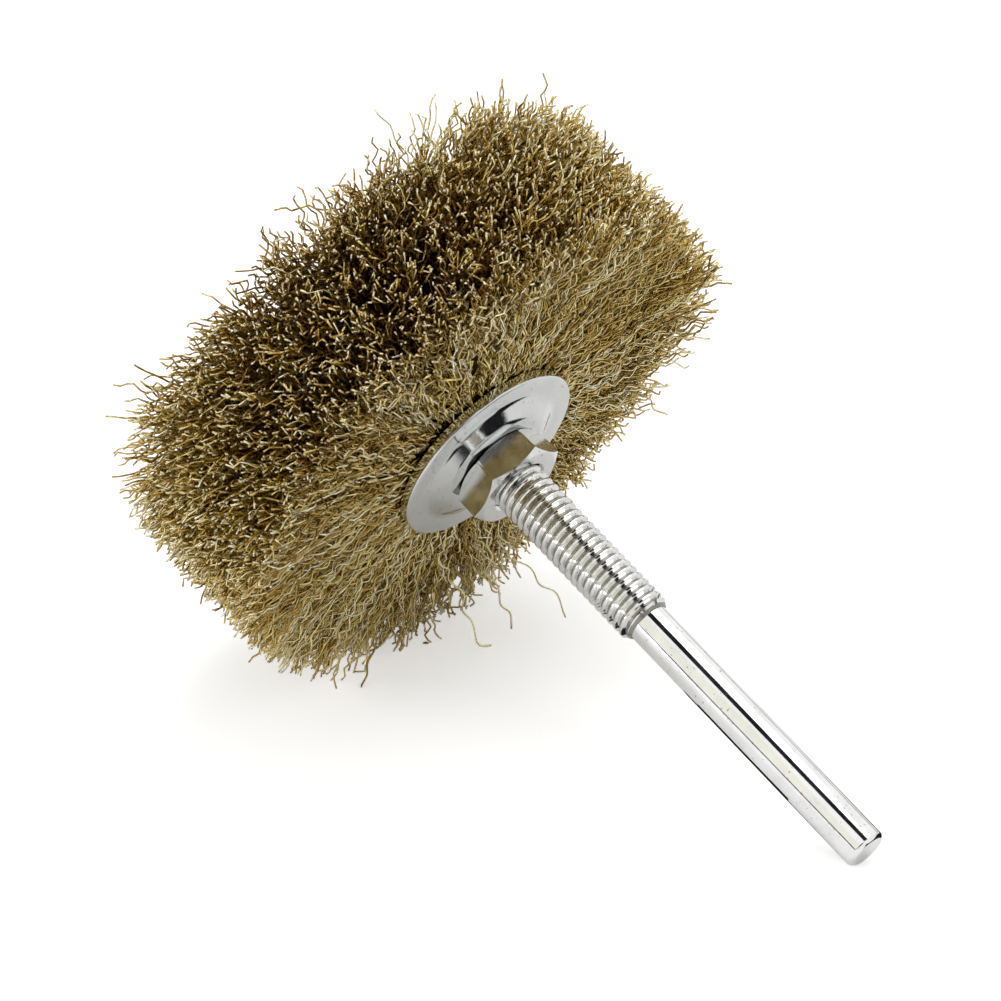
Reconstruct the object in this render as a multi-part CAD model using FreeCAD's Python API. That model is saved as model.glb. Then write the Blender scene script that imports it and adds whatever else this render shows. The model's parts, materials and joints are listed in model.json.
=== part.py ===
"""Drum-shaped wire brush on a threaded arbor, for a drill.

Each piece is built about its own shaft: local Z runs along the shaft towards the
shank end, and local Z = 0 is the outer face of the near plate's flat ring. The
finished pieces are then laid down as the brush rests on a table, on the rim of its
near row of wire and on the tip of its shank. Lengths are in millimetres.
"""
import FreeCAD, Part
import math
import os
from FreeCAD import Placement, Rotation, Vector

# Arbor: a long hexagon-headed M8 bolt whose end is turned down to a 6 mm shank
THREAD_CREST_R = 3.92
THREAD_ROOT_R = 3.25
THREAD_PITCH = 1.25
THREAD_ROOT_LAND = THREAD_PITCH / 4
THREAD_CREST_LAND = THREAD_PITCH / 8
RIDGE_ROOT_SINK = 0.1
RIDGE_END_GAP = 0.05
THREAD_START = 0.0
THREAD_END = 33.2
THREAD_END_CHAMFER = 0.6
BODY_R = 3.95
BODY_CHAMFER = 0.7
SHANK_R = 3.0
SHANK_END = 76.7
SHANK_END_CHAMFER = 0.5

# Hexagons of the nut and of the bolt's head
HEX_ACROSS_FLATS = 13.0
NUT_HEIGHT = 4.7
NUT_TURN = -2.0
NUT_BORE_CLEARANCE = 0.05
BOLT_HEAD_HEIGHT = 5.3
BOLT_HEAD_TURN = 11.0
HEX_CHAMFER_R = 6.35
HEX_CHAMFER_ANGLE = 30.0

# Pressed face plates, one at each end of the drum
HUB_WIDTH = 25.0
PLATE_R = 14.6
PLATE_SHEET = 1.0
PLATE_LIP = 1.5
PLATE_EDGE_ROUND = 0.35
PLATE_HOLE_R = 4.25
BOSS_RISE = 1.5
BOSS_TOP_R = 8.3
BOSS_FOOT_R = 11.2
BOSS_ROUND = 1.6
FACE_GAP = 0.1

# Hub inside the drum
SLEEVE_BORE_R = 4.02
SLEEVE_R = 5.4
RING_R = 8.6
RING_WIRE_R = 1.4
RING_SEAT_GAP = 0.05
SPACER_R = 13.0
SPACER_THICKNESS = 1.5

# Wire rows: each is a ring of crimped wire that fans out from between the plates.
# The near row's rim stays behind its plate and the far row's rim flares past its own.
ROW_R = 42.0
ROW_BORE_R = 6.2
NEAR_RIM_FACE = -2.3
FAR_RIM_FLARE = 1.12
ROW_VALLEY_HALF = 1.4
ROW_VALLEY_FOOT_R = 24.0
NEAR_TIPS_ACROSS = 4
FAR_TIPS_ACROSS = 5
ROW_TIP_DEPTH = 5.0
ROW_TIP_LAND_START = 0.35
ROW_TIP_LAND_END = 0.65
ROW_CORNER_DROP = 1.2
ROW_SEAM_GAP = 0.1
TUFTS = 72
TUFT_ROOT_R = 17.0
TUFT_TIP_SHARE = 0.42

# Places along the shaft
MIDDLE = -HUB_WIDTH / 2
NUT_BASE = BOSS_RISE + FACE_GAP
BOLT_HEAD_BASE = -HUB_WIDTH - BOSS_RISE - FACE_GAP

NEAR_TIP_STEP = (NEAR_RIM_FACE - MIDDLE - ROW_VALLEY_HALF) / NEAR_TIPS_ACROSS

# The brush lies on the first tips of its near row and on the tip of its shank
NEAR_TIP_Z = NEAR_RIM_FACE - ROW_TIP_LAND_START * NEAR_TIP_STEP
LEAN = math.degrees(math.atan2(ROW_R - SHANK_R, SHANK_END - SHANK_END_CHAMFER - NEAR_TIP_Z))


def outline(points):
    """Close a list of (radius, height) points into a wire in the XZ plane."""
    corners = [Vector(r, 0, z) for r, z in points]
    return Part.makePolygon(corners + corners[:1])


def turned(points):
    """Turn a closed (radius, height) outline about the shaft."""
    face = Part.Face(outline(points))
    return face.revolve(Vector(0, 0, 0), Vector(0, 0, 1), 360)


def circles_near(shape, radius, height, reach):
    """Find the circular edges of a turned shape near one (radius, height)."""
    found = []
    for edge in shape.Edges:
        if not isinstance(edge.Curve, Part.Circle):
            continue
        away = math.hypot(edge.Curve.Radius - radius, edge.Curve.Center.z - height)
        if away < reach:
            found.append(edge)
    return found


def across_middle(shape):
    """Mirror a piece of the near end to the far end of the drum."""
    return shape.mirror(Vector(0, 0, MIDDLE), Vector(0, 0, 1))


def chamfer_cap(top, height, direction):
    """Turned envelope that cuts a hexagon's corners back on one face."""
    slope = math.tan(math.radians(HEX_CHAMFER_ANGLE))
    corner_r = HEX_ACROSS_FLATS
    drop = (corner_r - HEX_CHAMFER_R) * slope
    points = [
        (0, top),
        (HEX_CHAMFER_R, top),
        (corner_r, top - direction * drop),
        (corner_r, top - direction * (height + drop)),
        (0, top - direction * (height + drop)),
    ]
    return turned(points)


def hexagon(base, height, turn):
    """Hexagonal prism along the shaft."""
    corner_r = HEX_ACROSS_FLATS / math.sqrt(3)
    corners = []
    for k in range(6):
        angle = math.radians(turn + 60 * k)
        corners.append(Vector(corner_r * math.cos(angle), corner_r * math.sin(angle), base))
    face = Part.Face(Part.makePolygon(corners + corners[:1]))
    return face.extrude(Vector(0, 0, height))


def thread_ridge():
    """One unbroken helical ridge of the M8 thread, clear of both ends of its stretch."""
    half_root = (THREAD_PITCH - THREAD_ROOT_LAND) / 2
    half_crest = THREAD_CREST_LAND / 2
    low = THREAD_START + BODY_CHAMFER + half_root + RIDGE_END_GAP
    high = THREAD_END - THREAD_END_CHAMFER - half_root - RIDGE_END_GAP
    helix = Part.makeHelix(THREAD_PITCH, high - low, THREAD_ROOT_R)
    helix.translate(Vector(0, 0, low))
    inner_r = THREAD_ROOT_R - RIDGE_ROOT_SINK
    corners = [
        Vector(inner_r, 0, low - half_root),
        Vector(THREAD_CREST_R, 0, low - half_crest),
        Vector(THREAD_CREST_R, 0, low + half_crest),
        Vector(inner_r, 0, low + half_root),
    ]
    profile = Part.makePolygon(corners + corners[:1])
    return Part.Wire(helix.Edges).makePipeShell([profile], True, True)


def arbor_bolt():
    """Hexagon head, plain body, M8 thread and plain shank, all one piece."""
    first = BOLT_HEAD_BASE
    stock = turned([
        (0, first),
        (BODY_R, first),
        (BODY_R, THREAD_START),
        (THREAD_ROOT_R, THREAD_START + BODY_CHAMFER),
        (THREAD_ROOT_R, THREAD_END - THREAD_END_CHAMFER),
        (SHANK_R, THREAD_END),
        (SHANK_R, SHANK_END - SHANK_END_CHAMFER),
        (SHANK_R - SHANK_END_CHAMFER, SHANK_END),
        (0, SHANK_END),
    ])
    head = hexagon(first - BOLT_HEAD_HEIGHT, BOLT_HEAD_HEIGHT, BOLT_HEAD_TURN)
    head = head.common(chamfer_cap(first - BOLT_HEAD_HEIGHT, BOLT_HEAD_HEIGHT, -1))
    return stock.fuse(head).fuse(thread_ridge())


def clamp_nut():
    """Thin hexagon nut, chamfered on both faces, that runs on the thread."""
    top = NUT_BASE + NUT_HEIGHT
    nut = hexagon(NUT_BASE, NUT_HEIGHT, NUT_TURN)
    nut = nut.common(chamfer_cap(top, NUT_HEIGHT, 1))
    nut = nut.common(chamfer_cap(NUT_BASE, NUT_HEIGHT, -1))
    bore_r = THREAD_CREST_R + NUT_BORE_CLEARANCE
    mouth_r = bore_r + 0.4
    bore = turned([
        (0, NUT_BASE - 1),
        (mouth_r, NUT_BASE - 1),
        (mouth_r, NUT_BASE),
        (bore_r, NUT_BASE + 0.4),
        (bore_r, top - 0.4),
        (mouth_r, top),
        (mouth_r, top + 1),
        (0, top + 1),
    ])
    return nut.cut(bore)


def near_face_plate():
    """Pressed plate: flat ring, raised boss under the nut, edge turned back."""
    plate = turned([
        (PLATE_HOLE_R, BOSS_RISE),
        (BOSS_TOP_R, BOSS_RISE),
        (BOSS_FOOT_R, 0),
        (PLATE_R, 0),
        (PLATE_R, -PLATE_LIP),
        (PLATE_R - PLATE_SHEET, -PLATE_LIP),
        (PLATE_R - PLATE_SHEET, -PLATE_SHEET),
        (BOSS_FOOT_R - PLATE_SHEET / 3, -PLATE_SHEET),
        (BOSS_TOP_R - PLATE_SHEET / 3, BOSS_RISE - PLATE_SHEET),
        (PLATE_HOLE_R, BOSS_RISE - PLATE_SHEET),
    ])
    bends = circles_near(plate, BOSS_TOP_R, BOSS_RISE, 0.1)
    bends += circles_near(plate, BOSS_FOOT_R, 0, 0.1)
    plate = plate.makeFillet(BOSS_ROUND, bends)
    return plate.makeFillet(PLATE_EDGE_ROUND, circles_near(plate, PLATE_R, 0, 0.1))


def far_face_plate():
    """The same plate at the far end, facing the bolt's head."""
    return across_middle(near_face_plate())


def hub_sleeve():
    """Tube round the bolt that keeps the two plates apart."""
    top = BOSS_RISE - PLATE_SHEET
    bottom = -HUB_WIDTH - top
    return turned([
        (SLEEVE_BORE_R, bottom),
        (SLEEVE_R, bottom),
        (SLEEVE_R, top),
        (SLEEVE_BORE_R, top),
    ])


def row_middle():
    """Height of the middle of the near row at its hub."""
    return (MIDDLE + SPACER_THICKNESS / 2 - PLATE_SHEET) / 2


def ring_solid(wire_r):
    """Round ring of steel wire about the shaft, in the middle of the near row."""
    return Part.makeTorus(RING_R, wire_r, Vector(0, 0, row_middle()))


def near_core_ring():
    """Ring that the near row's wires are bent round."""
    return ring_solid(RING_WIRE_R)


def far_core_ring():
    """Ring that the far row's wires are bent round."""
    return across_middle(near_core_ring())


def row_spacer_disc():
    """Flat disc between the two rows, round the sleeve."""
    half = SPACER_THICKNESS / 2
    return turned([
        (SLEEVE_R, MIDDLE - half),
        (SPACER_R, MIDDLE - half),
        (SPACER_R, MIDDLE + half),
        (SLEEVE_R, MIDDLE + half),
    ])


def row_profile(face_at_rim, tips_across):
    """Section of a row at the near end, with its cut tips as points across the rim."""
    face_at_hub = -PLATE_SHEET
    face_at_lip = -PLATE_LIP - ROW_SEAM_GAP
    valley_at_foot = MIDDLE + ROW_SEAM_GAP
    points = [
        (ROW_BORE_R, face_at_hub),
        (PLATE_R - PLATE_SHEET - ROW_SEAM_GAP, face_at_hub),
        (PLATE_R - PLATE_SHEET - ROW_SEAM_GAP, face_at_lip),
        (PLATE_R + PLATE_SHEET, face_at_lip),
        (ROW_R - ROW_TIP_DEPTH, face_at_rim),
    ]
    step = (face_at_rim - MIDDLE - ROW_VALLEY_HALF) / tips_across
    for k in range(tips_across):
        tip_r = ROW_R
        if k == tips_across - 1:
            tip_r = ROW_R - ROW_CORNER_DROP
        points.append((tip_r, face_at_rim - (k + ROW_TIP_LAND_START) * step))
        points.append((tip_r, face_at_rim - (k + ROW_TIP_LAND_END) * step))
        points.append((ROW_R - ROW_TIP_DEPTH, face_at_rim - (k + 1) * step))
    points += [
        (ROW_VALLEY_FOOT_R, valley_at_foot),
        (SPACER_R + ROW_SEAM_GAP, valley_at_foot),
        (SPACER_R + ROW_SEAM_GAP, MIDDLE + SPACER_THICKNESS / 2),
        (ROW_BORE_R, MIDDLE + SPACER_THICKNESS / 2),
    ]
    return points


def tuft_star(first_angle, low, high):
    """Prism between two heights whose star section parts a row into tufts."""
    step = math.radians(360 / TUFTS)
    tip_r = ROW_R + 1
    half_tip = step * TUFT_TIP_SHARE / 2
    corners = []
    for k in range(TUFTS):
        middle = math.radians(first_angle) + k * step
        for radius, angle in (
            (tip_r, middle - half_tip),
            (tip_r, middle + half_tip),
            (TUFT_ROOT_R, middle + step / 2),
        ):
            corners.append(Vector(radius * math.cos(angle), radius * math.sin(angle), 0))
    face = Part.Face(Part.makePolygon(corners + corners[:1]))
    star = face.extrude(Vector(0, 0, high - low))
    star.translate(Vector(0, 0, low))
    return star


def near_wire_row():
    """Row of crimped wire behind the near plate, as a ring of tufts."""
    profile = row_profile(NEAR_RIM_FACE, NEAR_TIPS_ACROSS)
    row = turned(profile).common(tuft_star(0, -HUB_WIDTH - 1, 1))
    return row.cut(ring_solid(RING_WIRE_R + RING_SEAT_GAP))


def far_wire_row():
    """Row at the far plate: wider at the rim, its tufts half a step round at each tip."""
    step = (FAR_RIM_FLARE - MIDDLE - ROW_VALLEY_HALF) / FAR_TIPS_ACROSS
    stars = []
    for k in range(FAR_TIPS_ACROSS):
        high = FAR_RIM_FLARE - k * step
        low = high - step
        if k == 0:
            high = BOSS_RISE
        if k == FAR_TIPS_ACROSS - 1:
            low = MIDDLE
        stars.append(tuft_star((k % 2) * 180 / TUFTS, low, high))
    stack = stars[0].fuse(stars[1:])
    profile = row_profile(FAR_RIM_FLARE, FAR_TIPS_ACROSS)
    row = turned(profile).common(stack)
    return across_middle(row.cut(ring_solid(RING_WIRE_R + RING_SEAT_GAP)))


def resting_turn():
    """Shaft level with X, then its shank end tipped down by the lean."""
    lean = math.radians(LEAN)
    shaft = Vector(math.cos(lean), 0, -math.sin(lean))
    upward = Vector(math.sin(lean), 0, math.cos(lean))
    return Rotation(upward, Vector(0, -1, 0), shaft, "ZXY")


def lay_down(pieces):
    """Lay the whole brush on the table, centred over the origin."""
    turn = Placement(Vector(0, 0, 0), resting_turn())
    laid = {}
    for name, shape in pieces.items():
        laid[name] = shape.copy()
        laid[name].Placement = turn.multiply(shape.Placement)
    box = Part.makeCompound(list(laid.values())).BoundBox
    shift = Vector(-box.Center.x, -box.Center.y, -box.ZMin)
    for shape in laid.values():
        shape.translate(shift)
    return laid, shift


def main():
    os.makedirs("parts", exist_ok=True)
    pieces = {}
    for build in (
        arbor_bolt,
        clamp_nut,
        near_face_plate,
        far_face_plate,
        hub_sleeve,
        near_core_ring,
        far_core_ring,
        row_spacer_disc,
        near_wire_row,
        far_wire_row,
    ):
        pieces[build.__name__] = build()
    laid, shift = lay_down(pieces)
    for name, shape in laid.items():
        shape.exportStep("parts/" + name + ".step")
        print(name, shape.isValid(), len(shape.Solids), round(shape.Volume, 1))
    box = Part.makeCompound(list(laid.values())).BoundBox
    print("lean", LEAN, "shift", shift)
    print("box", box.XMin, box.XMax, box.YMin, box.YMax, box.ZMin, box.ZMax)


main()
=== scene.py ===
import json
import math

import bmesh
import bpy
import numpy as np
from mathutils import Matrix, Vector


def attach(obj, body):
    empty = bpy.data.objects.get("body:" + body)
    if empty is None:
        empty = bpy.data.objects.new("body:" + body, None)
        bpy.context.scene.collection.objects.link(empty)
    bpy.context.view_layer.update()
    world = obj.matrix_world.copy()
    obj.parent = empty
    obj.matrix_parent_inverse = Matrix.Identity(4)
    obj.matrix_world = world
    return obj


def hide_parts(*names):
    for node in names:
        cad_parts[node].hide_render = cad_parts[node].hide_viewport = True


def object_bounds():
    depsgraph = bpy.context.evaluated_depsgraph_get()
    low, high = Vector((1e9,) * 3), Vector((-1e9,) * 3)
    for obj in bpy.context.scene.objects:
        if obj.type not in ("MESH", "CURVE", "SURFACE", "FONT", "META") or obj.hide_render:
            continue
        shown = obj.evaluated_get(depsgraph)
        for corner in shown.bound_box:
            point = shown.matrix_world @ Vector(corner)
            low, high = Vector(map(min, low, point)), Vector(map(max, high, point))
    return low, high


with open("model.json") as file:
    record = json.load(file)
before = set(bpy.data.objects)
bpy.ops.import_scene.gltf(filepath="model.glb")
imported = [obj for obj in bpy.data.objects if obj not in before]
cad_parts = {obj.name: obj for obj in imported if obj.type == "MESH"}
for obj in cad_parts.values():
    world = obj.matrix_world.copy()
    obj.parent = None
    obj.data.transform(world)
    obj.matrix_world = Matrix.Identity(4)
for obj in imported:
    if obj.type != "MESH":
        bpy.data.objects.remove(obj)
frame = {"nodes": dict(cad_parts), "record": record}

CAD_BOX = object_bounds()
MM = 0.001

# Arbor, in millimetres: heights run along the shaft from the near plate's flat ring
SHANK_GRIP_MIDDLE = 54.7
THREAD_CREST_R = 3.92
THREAD_ROOT_R = 3.25
THREAD_PITCH = 1.25
THREAD_START = 0.7
THREAD_END = 33.2
THREAD_RUN_OUT = 1.25
THREAD_RUN_OUT_GAP = 0.06
THREAD_STEPS = 56
THREAD_SOFTNESS = 0.07
# How far out from the thread's root the faces with painted valley shade reach
THREAD_VALLEY_DEPTH = 0.16
THREAD_CORE_SINK = 0.15
BODY_R = 3.95
BODY_CHAMFER = 0.7
SHANK_R = 3.0
SHANK_END = 76.7
SHANK_END_CHAMFER = 0.5
SHANK_END_ROUNDS = (0.12, 0.1)

# Hexagons of the nut and of the bolt's head
HEX_ACROSS_FLATS = 13.0
HEX_CHAMFER_R = 6.35
HEX_CHAMFER_SLOPE = math.tan(math.radians(30))
NUT_BASE = 1.6
NUT_HEIGHT = 4.7
NUT_TURN = -2.0
NUT_BORE_R = 3.97
NUT_MOUTH_CHAMFER = 0.4
HEX_CORNER_ROUND = 0.12
BOLT_HEAD_BASE = -26.6
BOLT_HEAD_HEIGHT = 5.3
BOLT_HEAD_TURN = 11.0
BOLT_HEAD_OVERLAP = 0.05
POLE_R = 0.0005

# Pressed plates
HUB_WIDTH = 25.0
MIDDLE = -HUB_WIDTH / 2
PLATE_R = 14.6
PLATE_SHEET = 1.0
PLATE_LIP = 1.5
PLATE_HOLE_R = 4.25
BOSS_RISE = 1.5
BOSS_TOP_R = 8.3
BOSS_FOOT_R = 11.2
BOSS_TOP_ROUND = 0.8
BOSS_FOOT_ROUND = 0.6
PLATE_EDGE_ROUND = 0.3
PLATE_LIP_ROUND = 0.12

# Meshes of the metal pieces: weld in millimetres, sharp edges in degrees
WELD = 0.002
SHARP_FROM = 28

# Crimped wire
ROW_R = 42.0
ROW_BORE_R = 6.2
ROOT_FAN_R = 12.5
ROOT_HIDDEN_R = (26.0, 29.0)
FACE_WIRES = 1300
VALLEY_WIRES = 1000
VALLEY_START_R = 19.0
MIDDLE_WIRES = 1500
MIDDLE_START_R = 28.5
WIRE_R = 0.145
WIRE_SIDES = 3
SECTION_SWELL = 1.1
POINT_STEP = 0.85
CRIMP_WAVE = 3.2
CRIMP_REACH = 0.44
SHADE_SPREAD = 0.68
PIECE_LIMIT = 190000
TOWARDS_VIEW = math.radians(43.2)
SEED = 41

# How the wires scatter: spreads are standard deviations in millimetres, and a wave
# is what neighbouring wires do together
START_SPREAD = 0.6
TIP_INSET = 1.3
TIP_SPREAD = 0.8
TIP_WAVE = 0.7
TIP_PAST_ROW = 1.5
SHORTEST_WIRE = 6
SHORT_SHARE = 0.22
SHORT_BY = 6
LEAN_SPREAD, LEAN_WAVE = 2.0, 1.6
SPLAY_SPREAD, SPLAY_WAVE = 1.1, 0.7
CURL_SPREAD = 2.6
CURL_DEPTH_SPREAD = 1.8
FRINGE_REACH = 1.3
FRINGE_SHARE = 0.5
BOW_SPREAD = 0.55
BOW_WAVES = (11, 13)

# Where a row differs round the shaft, as (size, direction, width), in degrees: how far
# the near tips are set back and the far tips flare, in millimetres, and the share of the
# far fringe that the table holds down
NEAR_SET_BACK = (6.5, 250, 26)
FAR_FLARES = ((2.8, 92, 20), (0.4, 30, 45))
TABLE_SIDE = (0.8, 180, 45)

# How far wires may stand from the solids' box, low and high, in millimetres
REACH_LOW = (-2.6, -1.9, 0.165)
REACH_HIGH = (2.6, 1.9, 1.9)
REACH_SOFTNESS = 1.6

# Ends of the strays of the near face: towards the view, up to the right, out of the face
STRAY_ENDS = (
    (-35.0, -7.9, 12.8),
    (-35.0, -15.3, 8.7),
    (-33.0, -19.0, 9.7),
    (-22.0, -37.1, 6.2),
    (-20.0, -38.7, 1.5),
)
STRAY_POINTS = 56
STRAY_START_R = 13

# The photograph's view: azimuth and elevation in degrees, distances in millimetres
VIEW_AZIMUTH = 44.04
VIEW_ELEVATION = 27.28
VIEW_DISTANCE = 615.35
VIEW_RIGHT = 1.51
VIEW_UP = -6.10
FOCAL_PIXELS = 4501.0
PHOTO_PIXELS = 1001
SENSOR = 36.0

# Studio, in metres: what the table and the surround add where they are seen, the panels
# that the metal reflects by two opposite corners, and the lamps as (place, size, power)
TABLE_LIFT = 0.45
REFLECTED_LIFT = 0.04
ROOM_LEVEL = 0.62
TABLE_FLAG_HEIGHT = 0.0006
TABLE_FLAGS = (
    (0.014, -0.0045, 0.038, -0.001),
    (0.010, -0.001, 0.0525, 0.050),
    (0.0525, 0.0075, 0.0585, 0.050),
    (0.0585, -0.001, 0.078, 0.050),
)
OVERHEAD_FLAG = ((-0.9, -0.36, 1.0), (1.1, 0.05, 1.0))
FRONT_CARD = ((-1.3, -1.0, 0.26), (0.35, -1.0, 1.55))
CAMERA_SIDE_FLAG = ((-0.36, 0, 0.02), (0.36, 0, 0.72))
CAMERA_SIDE_PLACE = (0.75, -0.62, 0)
CAMERA_SIDE_TURN = 44
SKYLINE_R = 0.85
SKYLINE_LOW = 0.131
SKYLINE_HEIGHT = 0.070
OVERHEAD_LAMP = ((-0.10, 0.30, 1.20), 1.1, 5.5)
LEFT_LAMP = ((-0.75, -1.20, 0.45), 0.9, 9.0)
LAMP_AIM = (0, 0, 0.03)


def seat_matrix():
    """From the shaft's own axes, in millimetres, to the row frame in metres."""
    shank = next(m for m in frame["record"]["mounts"] if m["name"] == "shank")
    along = Vector(shank["axis"]).normalized()
    plate = Vector(shank["pos_m"]) - along * SHANK_GRIP_MIDDLE * MM
    side = Vector((0, -1, 0))
    upward = side.cross(along)
    turn = Matrix((upward, side, along)).transposed().to_4x4()
    return Matrix.Translation(plate) @ turn @ Matrix.Scale(MM, 4)


SEAT = seat_matrix()


# Materials


def node_of(tree, kind, **settings):
    """Add a shader node and set its plain properties."""
    node = tree.nodes.new(kind)
    for key, value in settings.items():
        setattr(node, key, value)
    return node


def noise(tree, vector, scale, detail=3.0):
    """Noise texture on a vector output."""
    node = node_of(tree, "ShaderNodeTexNoise")
    node.inputs["Scale"].default_value = scale
    node.inputs["Detail"].default_value = detail
    tree.links.new(vector, node.inputs["Vector"])
    return node.outputs["Fac"]


def ramp(tree, factor, stops):
    """Colour ramp through (place, colour) stops."""
    node = node_of(tree, "ShaderNodeValToRGB")
    band = node.color_ramp
    while len(band.elements) < len(stops):
        band.elements.new(0.5)
    for element, (place, colour) in zip(band.elements, stops):
        element.position = place
        element.color = (*colour, 1)
    tree.links.new(factor, node.inputs["Fac"])
    return node.outputs["Color"]


def spread_over(tree, value, low, high):
    """Map the middle of a noise to a range."""
    node = node_of(tree, "ShaderNodeMapRange")
    node.inputs["From Min"].default_value = 0.3
    node.inputs["From Max"].default_value = 0.7
    node.inputs["To Min"].default_value = low
    node.inputs["To Max"].default_value = high
    tree.links.new(value, node.inputs["Value"])
    return node.outputs["Result"]


def bumped(tree, shader, height, strength, distance):
    """Bump a shader from a height output."""
    bump = node_of(tree, "ShaderNodeBump")
    bump.inputs["Strength"].default_value = strength
    bump.inputs["Distance"].default_value = distance
    tree.links.new(height, bump.inputs["Height"])
    tree.links.new(bump.outputs["Normal"], shader.inputs["Normal"])


def metal(name):
    """A bare metallic material, its node tree and its shader."""
    material = bpy.data.materials.new(name)
    material.use_nodes = True
    tree = material.node_tree
    shader = tree.nodes["Principled BSDF"]
    shader.inputs["Metallic"].default_value = 1.0
    return material, tree, shader


def zinc_plating(name, shade, roughness, spread, pit_depth):
    """Bright zinc plating: faint clouds, tiny dark pits and an uneven shine."""
    material, tree, shader = metal(name)
    place = node_of(tree, "ShaderNodeTexCoord").outputs["Object"]
    clouds = noise(tree, place, 300.0, 4.0)
    specks = noise(tree, place, 2400.0, 3.0)
    grain = noise(tree, place, 7000.0, 2.0)
    colour = ramp(tree, clouds, (
        (0.3, tuple(0.90 * part for part in shade)),
        (0.7, shade),
    ))
    dark = ramp(tree, specks, (
        (0.27, (0.25, 0.24, 0.21)),
        (0.34, (1.0, 1.0, 1.0)),
    ))
    both = node_of(tree, "ShaderNodeMix", data_type="RGBA", blend_type="MULTIPLY")
    both.inputs["Factor"].default_value = 1.0
    tree.links.new(colour, both.inputs[6])
    tree.links.new(dark, both.inputs[7])
    tree.links.new(both.outputs[2], shader.inputs["Base Color"])
    shine = spread_over(tree, clouds, roughness, roughness + spread)
    tree.links.new(shine, shader.inputs["Roughness"])
    bumped(tree, shader, grain, pit_depth, 0.00003)
    return material


def crimped_brass_wire():
    """Brass-coated steel wire: each wire has its own shade, stained along its length."""
    material, tree, shader = metal("crimped_brass_wire")
    shade = node_of(tree, "ShaderNodeAttribute", attribute_name="wire_shade")
    place = node_of(tree, "ShaderNodeTexCoord").outputs["Object"]
    stain = noise(tree, place, 900.0, 3.0)
    mixed = node_of(tree, "ShaderNodeMath", operation="MULTIPLY_ADD")
    tree.links.new(stain, mixed.inputs[0])
    mixed.inputs[1].default_value = 0.5
    tree.links.new(shade.outputs["Fac"], mixed.inputs[2])
    brass = ramp(tree, mixed.outputs["Value"], (
        (0.2, (0.32, 0.18, 0.03)),
        (0.48, (0.72, 0.525, 0.165)),
        (0.7, (0.90, 0.76, 0.38)),
        (0.92, (0.98, 0.93, 0.70)),
    ))
    tree.links.new(brass, shader.inputs["Base Color"])
    tree.links.new(spread_over(tree, stain, 0.13, 0.27), shader.inputs["Roughness"])
    bumped(tree, shader, stain, 0.2, 0.00005)
    return material


def cut_wire_end():
    """Bare steel where a wire is cut off."""
    material, tree, shader = metal("cut_wire_end")
    place = node_of(tree, "ShaderNodeTexCoord").outputs["Object"]
    burr = noise(tree, place, 9000.0, 1.0)
    colour = ramp(tree, burr, ((0.3, (0.55, 0.52, 0.44)), (0.7, (0.86, 0.84, 0.78))))
    tree.links.new(colour, shader.inputs["Base Color"])
    shader.inputs["Roughness"].default_value = 0.4
    return material


def painted_shade_wire_root():
    """Wires packed tight at the hub, seen only in the gaps between the free ones; its near-black
    brown is painted shade of the deep gaps, not the brass's own colour.
    """
    material, tree, shader = metal("painted_shade_wire_root")
    place = node_of(tree, "ShaderNodeTexCoord").outputs["Object"]
    strands = noise(tree, place, 2600.0, 2.0)
    # Near-black to dark brown: painted shade of the packed wire deep in the hub
    colour = ramp(tree, strands, (
        (0.35, (0.03, 0.018, 0.005)),
        (0.7, (0.20, 0.13, 0.04)),
    ))
    tree.links.new(colour, shader.inputs["Base Color"])
    shader.inputs["Roughness"].default_value = 0.6
    bumped(tree, shader, strands, 0.6, 0.0003)
    return material


# Turned and hexagonal metal pieces


def finished(work, name):
    """Weld a bmesh made about the shaft, seat it and return its mesh."""
    bmesh.ops.remove_doubles(work, verts=work.verts, dist=WELD)
    bmesh.ops.recalc_face_normals(work, faces=work.faces)
    bmesh.ops.transform(work, matrix=SEAT, verts=work.verts)
    mesh = bpy.data.meshes.new(name)
    work.to_mesh(mesh)
    work.free()
    mesh.shade_smooth()
    mesh.set_sharp_from_angle(angle=math.radians(SHARP_FROM))
    return mesh


def new_piece(mesh, body, node, slot, *materials):
    """Link a finished mesh as the piece that stands for a node."""
    piece = bpy.data.objects.new(mesh.name, mesh)
    bpy.context.scene.collection.objects.link(piece)
    for material in materials:
        mesh.materials.append(material)
    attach(piece, body)
    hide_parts(node)


def spun(outline, closed, steps=160):
    """Spin a (radius, height) outline about the shaft."""
    work = bmesh.new()
    ring = [work.verts.new((r, 0, z)) for r, z in outline]
    edges = [work.edges.new(pair) for pair in zip(ring, ring[1:])]
    if closed:
        edges.append(work.edges.new((ring[-1], ring[0])))
    bmesh.ops.spin(work, geom=ring + edges, cent=(0, 0, 0), axis=(0, 0, 1),
                   angle=2 * math.pi, steps=steps, use_merge=True, use_duplicate=False)
    bmesh.ops.remove_doubles(work, verts=work.verts, dist=0.0005)
    return work


def round_circle(work, radius, height, offset, segments):
    """Bevel the circular edge at one radius and height."""
    def on_circle(vert):
        away = math.hypot(math.hypot(vert.co.x, vert.co.y) - radius, vert.co.z - height)
        return away < 0.01
    edges = [edge for edge in work.edges if all(on_circle(vert) for vert in edge.verts)]
    bmesh.ops.bevel(work, geom=edges, affect="EDGES", offset=offset, segments=segments,
                    profile=0.5, material=-1)


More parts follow.
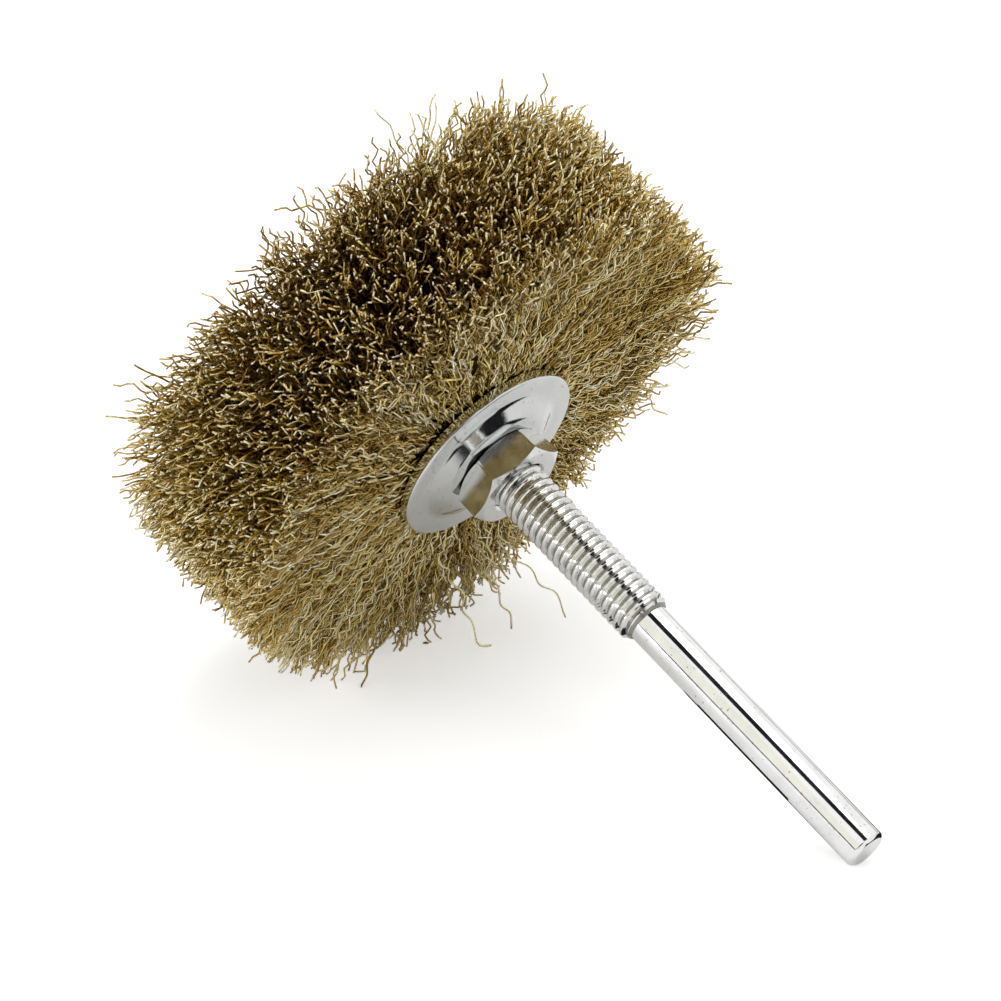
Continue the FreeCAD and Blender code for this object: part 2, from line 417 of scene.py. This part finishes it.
def plate_mesh(name, far):
    """Pressed plate with a raised boss and a turned-back edge."""
    step = PLATE_SHEET / 3
    work = spun([
        (PLATE_HOLE_R, BOSS_RISE),
        (BOSS_TOP_R, BOSS_RISE),
        (BOSS_FOOT_R, 0),
        (PLATE_R, 0),
        (PLATE_R, -PLATE_LIP),
        (PLATE_R - PLATE_SHEET, -PLATE_LIP),
        (PLATE_R - PLATE_SHEET, -PLATE_SHEET),
        (BOSS_FOOT_R - step, -PLATE_SHEET),
        (BOSS_TOP_R - step, BOSS_RISE - PLATE_SHEET),
        (PLATE_HOLE_R, BOSS_RISE - PLATE_SHEET),
    ], True)
    round_circle(work, BOSS_TOP_R, BOSS_RISE, BOSS_TOP_ROUND, 8)
    round_circle(work, BOSS_FOOT_R, 0, BOSS_FOOT_ROUND, 8)
    round_circle(work, PLATE_R, 0, PLATE_EDGE_ROUND, 5)
    round_circle(work, PLATE_R, -PLATE_LIP, PLATE_LIP_ROUND, 2)
    if far:
        flip = Matrix.Translation((0, 0, 2 * MIDDLE)) @ Matrix.Scale(-1, 4, (0, 0, 1))
        bmesh.ops.transform(work, matrix=flip, verts=work.verts)
    return finished(work, name)


def hexagon_mesh(name, stations, turn):
    """Sweep a ring through (radius, height) stations; a radius of None is the hexagon."""
    def hexagon_r(angle):
        off = (angle - math.radians(turn)) % math.radians(60) - math.radians(30)
        return HEX_ACROSS_FLATS / 2 / math.cos(off)

    def place(verts, station):
        radius, height, slope = station
        for vert in verts:
            angle = math.atan2(vert.co.y, vert.co.x)
            reach = hexagon_r(angle) if radius is None else radius
            drop = (reach - HEX_CHAMFER_R) * slope
            vert.co = (reach * math.cos(angle), reach * math.sin(angle), height + drop)

    work = bmesh.new()
    spin = Matrix.Rotation(math.radians(turn), 4, "Z")
    verts = bmesh.ops.create_circle(work, segments=120, radius=1, matrix=spin)["verts"]
    edges = list(work.edges)
    place(verts, stations[0])
    for station in stations[1:]:
        grown = bmesh.ops.extrude_edge_only(work, edges=edges)["geom"]
        verts = [part for part in grown if isinstance(part, bmesh.types.BMVert)]
        edges = [part for part in grown if isinstance(part, bmesh.types.BMEdge)
                 and all(vert in verts for vert in part.verts)]
        place(verts, station)
    bmesh.ops.remove_doubles(work, verts=work.verts, dist=WELD)
    bmesh.ops.recalc_face_normals(work, faces=work.faces)
    corners = [edge for edge in work.edges if edge.calc_face_angle(0) > math.radians(50)
               and abs(edge.verts[0].co.z - edge.verts[1].co.z) > 1]
    bmesh.ops.bevel(work, geom=corners, affect="EDGES", offset=HEX_CORNER_ROUND, segments=2,
                    profile=0.5, material=-1)
    return finished(work, name)


def nut_mesh():
    """Thin hexagon nut, chamfered on both faces."""
    top = NUT_BASE + NUT_HEIGHT
    mouth = NUT_BORE_R + NUT_MOUTH_CHAMFER
    return hexagon_mesh("thin_nut", [
        (NUT_BORE_R, top - NUT_MOUTH_CHAMFER, 0),
        (mouth, top, 0),
        (HEX_CHAMFER_R, top, 0),
        (None, top, -HEX_CHAMFER_SLOPE),
        (None, NUT_BASE, HEX_CHAMFER_SLOPE),
        (HEX_CHAMFER_R, NUT_BASE, 0),
        (mouth, NUT_BASE, 0),
        (NUT_BORE_R, NUT_BASE + NUT_MOUTH_CHAMFER, 0),
        (NUT_BORE_R, top - NUT_MOUTH_CHAMFER, 0),
    ], NUT_TURN)


def bolt_head_mesh():
    """Hexagon head with its outer corners chamfered."""
    outer = BOLT_HEAD_BASE - BOLT_HEAD_HEIGHT
    return hexagon_mesh("bolt_head", [
        (POLE_R, BOLT_HEAD_BASE, 0),
        (HEX_CHAMFER_R, BOLT_HEAD_BASE, 0),
        (None, BOLT_HEAD_BASE, 0),
        (None, outer, HEX_CHAMFER_SLOPE),
        (HEX_CHAMFER_R, outer, 0),
        (POLE_R, outer, 0),
    ], BOLT_HEAD_TURN)


def bolt_shaft_mesh():
    """Plain body in the drum, core of the thread, and the plain shank."""
    core_r = THREAD_ROOT_R - THREAD_CORE_SINK
    start = BOLT_HEAD_BASE + BOLT_HEAD_OVERLAP
    foot, tip = SHANK_END_ROUNDS
    work = spun([
        (0, start),
        (BODY_R, start),
        (BODY_R, 0),
        (core_r, BODY_CHAMFER),
        (core_r, THREAD_END - 1),
        (SHANK_R, THREAD_END - 0.9),
        (SHANK_R, SHANK_END - SHANK_END_CHAMFER),
        (SHANK_R - SHANK_END_CHAMFER, SHANK_END),
        (0, SHANK_END),
    ], False)
    round_circle(work, SHANK_R, SHANK_END - SHANK_END_CHAMFER, foot, 3)
    round_circle(work, SHANK_R - SHANK_END_CHAMFER, SHANK_END, tip, 3)
    return finished(work, "bolt_shaft")


def bolt_thread_mesh():
    """Rolled thread: one pitch swept along the helix, cut level, its last turn run out."""
    turns = math.ceil((THREAD_END - THREAD_START) / THREAD_PITCH) + 3
    land = THREAD_PITCH / 16
    soft = THREAD_SOFTNESS
    section = [
        (THREAD_ROOT_R, 0),
        (THREAD_ROOT_R, land),
        (THREAD_ROOT_R + soft, land * 1.8),
        (THREAD_CREST_R - soft * 1.6, THREAD_PITCH / 2 - land * 3.2),
        (THREAD_CREST_R - soft * 0.4, THREAD_PITCH / 2 - land * 2.2),
        (THREAD_CREST_R, THREAD_PITCH / 2 - land),
        (THREAD_CREST_R, THREAD_PITCH / 2 + land),
        (THREAD_CREST_R - soft * 0.4, THREAD_PITCH / 2 + land * 2.2),
        (THREAD_CREST_R - soft * 1.6, THREAD_PITCH / 2 + land * 3.2),
        (THREAD_ROOT_R + soft, THREAD_PITCH - land * 1.8),
        (THREAD_ROOT_R, THREAD_PITCH - land),
        (THREAD_ROOT_R, THREAD_PITCH),
    ]
    first = THREAD_START - 2 * THREAD_PITCH
    work = bmesh.new()
    ring = [work.verts.new((r, 0, first + z)) for r, z in section]
    edges = [work.edges.new(pair) for pair in zip(ring, ring[1:])]
    bmesh.ops.spin(work, geom=ring + edges, cent=(0, 0, 0), axis=(0, 0, 1),
                   dvec=(0, 0, THREAD_PITCH / THREAD_STEPS), angle=2 * math.pi,
                   steps=THREAD_STEPS, use_merge=False, use_duplicate=False)
    one_turn = list(work.verts) + list(work.edges) + list(work.faces)
    for k in range(1, turns):
        copied = bmesh.ops.duplicate(work, geom=one_turn)["geom"]
        moved = [part for part in copied if isinstance(part, bmesh.types.BMVert)]
        bmesh.ops.translate(work, verts=moved, vec=(0, 0, k * THREAD_PITCH))
    bmesh.ops.remove_doubles(work, verts=work.verts, dist=WELD)
    for height, outwards in ((THREAD_START, -1), (THREAD_END, 1)):
        everything = list(work.verts) + list(work.edges) + list(work.faces)
        bmesh.ops.bisect_plane(work, geom=everything, dist=0.0001, plane_co=(0, 0, height),
                               plane_no=(0, 0, outwards), clear_outer=True)
    for vert in work.verts:
        left = THREAD_END - vert.co.z
        grown = (THREAD_CREST_R - SHANK_R) * left / THREAD_RUN_OUT
        limit = SHANK_R + THREAD_RUN_OUT_GAP + grown
        radius = math.hypot(vert.co.x, vert.co.y)
        if radius > limit:
            vert.co.x *= limit / radius
            vert.co.y *= limit / radius
    rims = [edge for edge in work.edges if edge.is_boundary]
    bmesh.ops.holes_fill(work, edges=rims, sides=0)
    # Faces near the root take the second, darker material, which paints the shade of the thread
    # valleys
    for face in work.faces:
        middle = face.calc_center_median()
        valley = math.hypot(middle.x, middle.y) < THREAD_ROOT_R + THREAD_VALLEY_DEPTH
        face.material_index = int(valley)
    return finished(work, "bolt_thread")


# Wire rows


class Row:
    """Where one row's wires leave the hub and end at the rim, along the shaft.

    Depths are shares of the row: 0 at its lower height along the shaft, 1 at its upper.
    """

    def __init__(self, label, node, hub, rim, depths):
        self.label = label
        self.node = node
        self.hub = hub
        self.rim = rim
        self.face_depths, self.valley_depths, self.middle_depths = depths


def smooth_waves(rng, angle, count, low, high):
    """Sum of a few waves round the drum, which bends neighbouring wires together."""
    total = np.zeros_like(angle)
    for _ in range(count):
        total += np.sin(rng.integers(low, high) * angle + rng.uniform(0, 2 * math.pi))
    return total / math.sqrt(count)


def bump_round(angle, middle, width):
    """Bell round one direction about the shaft, both in degrees."""
    off = np.degrees(np.angle(np.exp(1j * (angle - math.radians(middle)))))
    return np.exp(-(off / width) ** 2)


def tip_radii(rng, row, angle, start_r):
    """Where the wires end, with some cut short and one side of the near row set back."""
    count = len(angle)
    spread = rng.normal(0, TIP_SPREAD, count)
    tip_r = ROW_R - TIP_INSET + spread + TIP_WAVE * smooth_waves(rng, angle, 5, 15, 70)
    short = rng.random(count) < SHORT_SHARE
    tip_r = tip_r - short * rng.uniform(0, SHORT_BY, count)
    if row.label == "near":
        length, middle, width = NEAR_SET_BACK
        tip_r = tip_r - length * bump_round(angle, middle, width)
    return np.clip(tip_r, start_r + SHORTEST_WIRE, ROW_R + TIP_PAST_ROW)


def row_heights(row, angle, depth, share):
    """Each wire's own height along the shaft, from the hub to the flared rim."""
    rim_z = row.rim[0] + (row.rim[1] - row.rim[0]) * depth
    if row.label == "far":
        flare = sum(size * bump_round(angle, middle, width) for size, middle, width in FAR_FLARES)
        rim_z = rim_z - flare * (1 - depth)
    hub_z = row.hub[0] + (row.hub[1] - row.hub[0]) * depth
    return hub_z[:, None] + (rim_z - hub_z)[:, None] * np.clip(share, 0, 1.1) ** 1.2


def drift(rng, row, angle, depth, radius, free):
    """How far the wires lean, splay, curl and bow, round the drum and along the shaft."""
    count = len(angle)
    lean = rng.normal(0, LEAN_SPREAD, count) + LEAN_WAVE * smooth_waves(rng, angle, 6, 18, 60)
    splay = rng.normal(0, SPLAY_SPREAD, count) + SPLAY_WAVE * smooth_waves(rng, angle, 6, 12, 50)
    curl = rng.normal(0, CURL_SPREAD, count)
    curl_z = rng.normal(0, CURL_DEPTH_SPREAD, count)
    loose = rng.exponential(FRINGE_REACH, count) * (rng.random(count) < FRINGE_SHARE)
    pressed, middle, width = TABLE_SIDE
    fringe = (1 - depth) * (row.label == "far") * loose
    fringe = fringe * (1 - pressed * bump_round(angle, middle, width))
    across = lean[:, None] * free ** 1.4 + curl[:, None] * free ** 4
    deep = splay[:, None] * free ** 1.4 + (curl_z - fringe)[:, None] * free ** 3
    bow = rng.uniform(0, 2 * math.pi, (2, count, 1))
    bow_size = rng.normal(0, BOW_SPREAD, (2, count, 1)) * np.clip(free * 3, 0, 1)
    across += bow_size[0] * np.sin(radius * 2 * math.pi / BOW_WAVES[0] + bow[0])
    deep += bow_size[1] * np.sin(radius * 2 * math.pi / BOW_WAVES[1] + bow[1])
    return across, deep


def crimp(rng, radius, along):
    """The short waves pressed into each wire, round the drum and along the shaft."""
    count, points = radius.shape
    wave = CRIMP_WAVE * rng.uniform(0.85, 1.2, (count, 1))
    phase = rng.uniform(0, 2 * math.pi, (count, 1)) + radius * 2 * math.pi / wave
    size = CRIMP_REACH * rng.uniform(0.7, 1.3, (count, 1))
    size = size * rng.uniform(0.75, 1.25, (count, points))
    plane = rng.uniform(0, math.pi, (count, 1)) + rng.normal(0, 0.8, (count, 1)) * along
    return size * np.sin(phase) * np.cos(plane), size * np.sin(phase) * np.sin(plane)


def strands(rng, row, count, start_r, depth_low, depth_high):
    """Crimped wires of one row whose share of the row's depth lies in a range."""
    angle = rng.uniform(0, 2 * math.pi, count)
    depth = rng.uniform(depth_low, depth_high, count)
    start_r = start_r + rng.uniform(-START_SPREAD, START_SPREAD, count)
    tip_r = tip_radii(rng, row, angle, start_r)
    points = int(round((ROW_R - start_r.mean()) / POINT_STEP)) + 1
    along = np.linspace(0, 1, points)[None, :]
    radius = start_r[:, None] + (tip_r - start_r)[:, None] * along
    share = (radius - ROOT_FAN_R) / (ROW_R - ROOT_FAN_R)
    base_z = row_heights(row, angle, depth, share)
    across, deep = drift(rng, row, angle, depth, radius, np.clip(share, 0, 1.2))
    crimp_across, crimp_deep = crimp(rng, radius, along)
    across += crimp_across
    deep += crimp_deep
    turn = angle[:, None] + across / np.maximum(radius, 1)
    return np.stack([radius * np.cos(turn), radius * np.sin(turn), base_z + deep], axis=2)


def in_row_frame(points):
    """Local millimetre points to row-frame metres, held softly inside the wires' reach."""
    turn = np.array(SEAT.to_3x3())
    moved = points @ turn.T + np.array(SEAT.translation)
    low = np.array(CAD_BOX[0]) + np.array(REACH_LOW) * MM
    high = np.array(CAD_BOX[1]) + np.array(REACH_HIGH) * MM
    soft = REACH_SOFTNESS * MM
    under = low + soft - moved
    moved = moved + np.where(under > 0, under - soft * np.tanh(under / soft), 0)
    over = moved - (high - soft)
    moved = moved - np.where(over > 0, over - soft * np.tanh(over / soft), 0)
    return moved


def wire_section():
    """Three-sided section that the wires are swept with."""
    curve = bpy.data.curves.new("wire_section", "CURVE")
    spline = curve.splines.new("POLY")
    spline.points.add(WIRE_SIDES - 1)
    for k, point in enumerate(spline.points):
        angle = 2 * math.pi * k / WIRE_SIDES
        reach = WIRE_R * MM * SECTION_SWELL
        point.co = (reach * math.cos(angle), reach * math.sin(angle), 0, 1)
    spline.use_cyclic_u = True
    return bpy.data.objects.new("wire_section", curve)


def wires_mesh(name, paths, rng):
    """Sweep paths of equal length as thin wires with cut ends."""
    count, points, _ = paths.shape
    section = wire_section()
    curve = bpy.data.curves.new(name, "CURVE")
    curve.dimensions = "3D"
    curve.bevel_mode = "OBJECT"
    curve.bevel_object = section
    for path in paths:
        spline = curve.splines.new("POLY")
        spline.points.add(points - 1)
        spline.points.foreach_set("co", np.c_[path, np.ones(points)].ravel())
    holder = bpy.data.objects.new(name, curve)
    bpy.context.scene.collection.objects.link(holder)
    ready = bpy.context.evaluated_depsgraph_get()
    mesh = bpy.data.meshes.new_from_object(holder.evaluated_get(ready))
    bpy.data.objects.remove(holder)
    bpy.data.curves.remove(curve)
    bpy.data.objects.remove(section)
    shades = np.repeat(rng.uniform(0, SHADE_SPREAD, count), points * WIRE_SIDES)
    layer = mesh.attributes.new("wire_shade", "FLOAT", "POINT")
    layer.data.foreach_set("value", shades.astype(np.float32))
    work = bmesh.new()
    work.from_mesh(mesh)
    open_edges = [edge for edge in work.edges if edge.is_boundary]
    cut = bmesh.ops.holes_fill(work, edges=open_edges, sides=WIRE_SIDES)["faces"]
    for face in cut:
        face.material_index = 1
    bmesh.ops.recalc_face_normals(work, faces=work.faces)
    work.to_mesh(mesh)
    work.free()
    mesh.shade_smooth()
    return mesh


def wire_row(row, brass, cut_end, seed):
    """One row of crimped wires: long ones on both its faces, short ones between them."""
    groups = (
        ("outer_face", FACE_WIRES, ROOT_FAN_R, row.face_depths),
        ("valley_face", VALLEY_WIRES, VALLEY_START_R, row.valley_depths),
        ("middle_a", MIDDLE_WIRES, MIDDLE_START_R, row.middle_depths),
        ("middle_b", MIDDLE_WIRES, MIDDLE_START_R, row.middle_depths),
    )
    for k, (part, count, start_r, depths) in enumerate(groups):
        rng = np.random.default_rng(seed + k)
        paths = in_row_frame(strands(rng, row, count, start_r, *depths))
        faces = (paths.shape[1] - 1) * WIRE_SIDES * 2 + 2
        share = math.ceil(count * faces / PIECE_LIMIT)
        for n, batch in enumerate(np.array_split(paths, share)):
            name = row.label + "_row_" + part + "_" + str(n + 1)
            new_piece(wires_mesh(name, batch, rng), "drum", row.node, "brass_wire", brass, cut_end)


def wire_root(row, root):
    """Packed wire from the hub out to where the free wires hide it."""
    low, high = row.hub
    shoulder_r, tip_r = ROOT_HIDDEN_R
    outline = [
        (ROW_BORE_R, low + 0.3),
        (ROOT_FAN_R + 1, low + 0.3),
        (shoulder_r, low + 1.8),
        (tip_r, (low + high) / 2),
        (shoulder_r, high - 1.8),
        (ROOT_FAN_R + 2.5, high - 0.9),
        (ROOT_FAN_R + 1, high - 0.3),
        (ROW_BORE_R, high - 0.3),
    ]
    mesh = finished(spun(outline, True), row.label + "_row_root")
    new_piece(mesh, "drum", row.node, "brass_wire", root)


def stray_wires(row, brass, cut_end):
    """Long wires that have sprung out of the near face."""
    rng = np.random.default_rng(SEED + 90)
    paths = []
    for to_view, up, out in STRAY_ENDS:
        end_turn = math.atan2(up, to_view)
        reach = math.hypot(to_view, up)
        along = np.linspace(0, 1, STRAY_POINTS)
        radius = STRAY_START_R + (reach - STRAY_START_R) * along
        height = row.hub[1] - 0.4 + (out - row.hub[1]) * along ** 2.6
        phase = rng.uniform(0, 2 * math.pi)
        turn = TOWARDS_VIEW - end_turn - 0.25 * rng.uniform(-1, 1) * (1 - along)
        sway = 0.5 * np.sin(phase + along * 38) + 0.7 * np.sin(phase + along * 11)
        turn = turn + sway * np.clip(along * 3, 0, 1) / radius
        height = height + 0.35 * np.cos(phase + along * 26)
        paths.append(np.stack([radius * np.cos(turn), radius * np.sin(turn), height], axis=1))
    mesh = wires_mesh(row.label + "_row_strays", in_row_frame(np.array(paths)), rng)
    new_piece(mesh, "drum", row.node, "brass_wire", brass, cut_end)


# Studio


def stage_plane(name, corner_a, corner_b, normal_axis, material):
    """Flat studio panel between two opposite corners, in metres."""
    middle = [(a + b) / 2 for a, b in zip(corner_a, corner_b)]
    spans = [abs(a - b) / 2 for a, b in zip(corner_a, corner_b)]
    work = bmesh.new()
    bmesh.ops.create_grid(work, x_segments=1, y_segments=1, size=1.0)
    if normal_axis == 1:
        bmesh.ops.rotate(work, verts=work.verts, matrix=Matrix.Rotation(math.pi / 2, 3, "X"))
    bmesh.ops.scale(work, verts=work.verts, vec=spans)
    bmesh.ops.translate(work, verts=work.verts, vec=middle)
    mesh = bpy.data.meshes.new(name)
    work.to_mesh(mesh)
    work.free()
    mesh.materials.append(material)
    panel = bpy.data.objects.new(name, mesh)
    bpy.context.scene.collection.objects.link(panel)
    return panel


def reflected_only(panel):
    """Let a studio panel show in the metal and nowhere else."""
    panel.visible_camera = False
    panel.visible_diffuse = False
    panel.visible_shadow = False
    panel.visible_transmission = False
    panel.visible_volume_scatter = False


def plain_glow(name, colour):
    """Panel material that shows one colour whatever lights it."""
    material = bpy.data.materials.new(name)
    material.use_nodes = True
    shader = material.node_tree.nodes["Principled BSDF"]
    shader.inputs["Base Color"].default_value = (0, 0, 0, 1)
    shader.inputs["Specular IOR Level"].default_value = 0
    shader.inputs["Emission Color"].default_value = (*colour, 1)
    shader.inputs["Emission Strength"].default_value = 1.0
    return material


def table():
    """White table top, which shows a little whiter than its light makes it."""
    material = bpy.data.materials.new("white_table")
    material.use_nodes = True
    tree = material.node_tree
    shader = tree.nodes["Principled BSDF"]
    shader.inputs["Base Color"].default_value = (0.93, 0.93, 0.93, 1)
    shader.inputs["Roughness"].default_value = 1.0
    shader.inputs["Specular IOR Level"].default_value = 0
    seen = node_of(tree, "ShaderNodeLightPath")
    direct = node_of(tree, "ShaderNodeMath", operation="MULTIPLY")
    tree.links.new(seen.outputs["Is Camera Ray"], direct.inputs[0])
    direct.inputs[1].default_value = TABLE_LIFT
    lift = node_of(tree, "ShaderNodeMath", operation="MULTIPLY_ADD")
    tree.links.new(seen.outputs["Is Glossy Ray"], lift.inputs[0])
    lift.inputs[1].default_value = REFLECTED_LIFT
    tree.links.new(direct.outputs[0], lift.inputs[2])
    shader.inputs["Emission Color"].default_value = (1, 1, 1, 1)
    tree.links.new(lift.outputs[0], shader.inputs["Emission Strength"])
    stage_plane("table_top", (-3, -3, 0), (3, 3, 0), 2, material)


def room():
    """White surround: full white where it is seen, softer where it lights."""
    surround = bpy.data.worlds.new("white_room")
    surround.use_nodes = True
    tree = surround.node_tree
    back = tree.nodes["Background"]
    back.inputs["Color"].default_value = (1, 1, 1, 1)
    seen = node_of(tree, "ShaderNodeLightPath")
    first = node_of(tree, "ShaderNodeMath", operation="MAXIMUM")
    tree.links.new(seen.outputs["Is Camera Ray"], first.inputs[0])
    tree.links.new(seen.outputs["Is Glossy Ray"], first.inputs[1])
    second = node_of(tree, "ShaderNodeMath", operation="MAXIMUM")
    tree.links.new(first.outputs[0], second.inputs[0])
    tree.links.new(seen.outputs["Is Transmission Ray"], second.inputs[1])
    level = node_of(tree, "ShaderNodeMapRange")
    level.inputs["To Min"].default_value = ROOM_LEVEL
    level.inputs["To Max"].default_value = 1.0
    tree.links.new(second.outputs[0], level.inputs["Value"])
    tree.links.new(level.outputs["Result"], back.inputs["Strength"])
    bpy.context.scene.world = surround


def soft_lamp(name, place, size, power):
    """Square soft lamp aimed at the foot of the drum."""
    lamp = bpy.data.lights.new(name, "AREA")
    lamp.size = size
    lamp.energy = power
    holder = bpy.data.objects.new(name, lamp)
    holder.location = place
    holder.rotation_mode = "QUATERNION"
    holder.rotation_quaternion = (Vector(LAMP_AIM) - Vector(place)).to_track_quat("-Z", "Y")
    bpy.context.scene.collection.objects.link(holder)


def skyline_ring(black):
    """Low dark band all round, the horizon that the metal reflects."""
    work = bmesh.new()
    bmesh.ops.create_circle(work, segments=96, radius=SKYLINE_R)
    grown = bmesh.ops.extrude_edge_only(work, edges=list(work.edges))["geom"]
    raised = [part for part in grown if isinstance(part, bmesh.types.BMVert)]
    bmesh.ops.translate(work, verts=work.verts, vec=(0, 0, SKYLINE_LOW))
    bmesh.ops.translate(work, verts=raised, vec=(0, 0, SKYLINE_HEIGHT))
    mesh = bpy.data.meshes.new("flag_skyline")
    work.to_mesh(mesh)
    work.free()
    mesh.materials.append(black)
    ring = bpy.data.objects.new("flag_skyline", mesh)
    bpy.context.scene.collection.objects.link(ring)
    reflected_only(ring)


def flags():
    """Dark and cream panels that only the metal reflects, for its dark lines and bands."""
    black = plain_glow("black_flag", (0.012, 0.012, 0.014))
    cream = plain_glow("cream_card", (0.93, 0.92, 0.83))
    reflected_only(stage_plane("flag_overhead", *OVERHEAD_FLAG, 2, black))
    reflected_only(stage_plane("card_front", *FRONT_CARD, 1, cream))
    for k, (x_low, y_low, x_high, y_high) in enumerate(TABLE_FLAGS):
        low = (x_low, y_low, TABLE_FLAG_HEIGHT)
        high = (x_high, y_high, TABLE_FLAG_HEIGHT)
        reflected_only(stage_plane("flag_table_" + str(k + 1), low, high, 2, black))
    skyline_ring(black)
    side = stage_plane("flag_camera_side", *CAMERA_SIDE_FLAG, 1, black)
    turn = Matrix.Rotation(math.radians(CAMERA_SIDE_TURN), 4, "Z")
    side.data.transform(Matrix.Translation(CAMERA_SIDE_PLACE) @ turn)
    reflected_only(side)


def camera():
    """Camera at the photograph's viewing angle."""
    turn = math.radians(VIEW_AZIMUTH)
    lift = math.radians(VIEW_ELEVATION)
    right = Vector((math.cos(turn), math.sin(turn), 0))
    back = Vector((
        math.sin(turn) * math.cos(lift),
        -math.cos(turn) * math.cos(lift),
        math.sin(lift),
    ))
    up = back.cross(right)
    lens = bpy.data.cameras.new("photo_camera")
    lens.sensor_width = SENSOR
    lens.lens = FOCAL_PIXELS * SENSOR / PHOTO_PIXELS
    lens.clip_start = 0.01
    lens.clip_end = 20
    holder = bpy.data.objects.new("photo_camera", lens)
    plate = SEAT.translation
    holder.location = plate + (back * VIEW_DISTANCE + right * VIEW_RIGHT + up * VIEW_UP) * MM
    holder.rotation_mode = "QUATERNION"
    holder.rotation_quaternion = Matrix((right, up, back)).transposed().to_quaternion()
    bpy.context.scene.collection.objects.link(holder)
    bpy.context.scene.camera = holder


def metal_pieces():
    """Bolt, nut and plates in bright zinc with painted shade in the thread valleys, and plain
    steel on the hidden hub pieces.
    """
    shaft_zinc = zinc_plating("bright_zinc_shaft", (0.93, 0.93, 0.92), 0.05, 0.05, 0.05)
    thread_zinc = zinc_plating("bright_zinc_thread", (0.84, 0.84, 0.82), 0.05, 0.06, 0.2)
    # Darker, rougher zinc for the thread valleys: its dark colour is painted shade of the grooves,
    # its roughness is the finish
    valley_shade_zinc = zinc_plating("thread_valley_painted_shade", (0.34, 0.33, 0.29), 0.22, 0.1, 0.4)
    nut_zinc = zinc_plating("bright_zinc_nut", (0.80, 0.81, 0.80), 0.05, 0.05, 0.30)
    plate_zinc = zinc_plating("satin_zinc_plate", (0.72, 0.73, 0.72), 0.06, 0.05, 0.14)
    new_piece(bolt_shaft_mesh(), "arbor", "arbor_bolt", "zinc_bolt", shaft_zinc)
    new_piece(bolt_thread_mesh(), "arbor", "arbor_bolt", "zinc_bolt", thread_zinc, valley_shade_zinc)
    new_piece(bolt_head_mesh(), "arbor", "arbor_bolt", "zinc_bolt", nut_zinc)
    new_piece(nut_mesh(), "nut", "clamp_nut", "zinc_nut", nut_zinc)
    new_piece(plate_mesh("near_plate", False), "drum", "near_face_plate", "zinc_plate", plate_zinc)
    new_piece(plate_mesh("far_plate", True), "drum", "far_face_plate", "zinc_plate", plate_zinc)
    dull = zinc_plating("plain_hub_steel", (0.56, 0.56, 0.57), 0.35, 0.1, 0.3)
    for node in ("hub_sleeve", "near_core_ring", "far_core_ring", "row_spacer_disc"):
        mesh = frame["nodes"][node].data
        mesh.materials.clear()
        mesh.materials.append(dull)


def wire_rows():
    """Both rows of crimped wire and the wires that have sprung loose from them."""
    brass = crimped_brass_wire()
    cut_end = cut_wire_end()
    root = painted_shade_wire_root()
    near = Row("near", "near_wire_row", (-11.6, -1.75), (-11.3, -1.2),
               ((0.84, 1.0), (0.0, 0.18), (0.1, 0.95)))
    far = Row("far", "far_wire_row", (-23.2, -13.4), (-24.9, -13.7),
              ((0.0, 0.15), (0.82, 1.0), (0.05, 0.9)))
    for k, row in enumerate((near, far)):
        wire_root(row, root)
        wire_row(row, brass, cut_end, SEED + 10 * k)
    stray_wires(near, brass, cut_end)


def build():
    """The whole brush in its white studio."""
    wire_rows()
    metal_pieces()
    table()
    room()
    flags()
    soft_lamp("overhead_softbox", *OVERHEAD_LAMP)
    soft_lamp("left_softbox", *LEFT_LAMP)
    camera()
    bpy.context.scene.view_settings.view_transform = "Standard"


build()
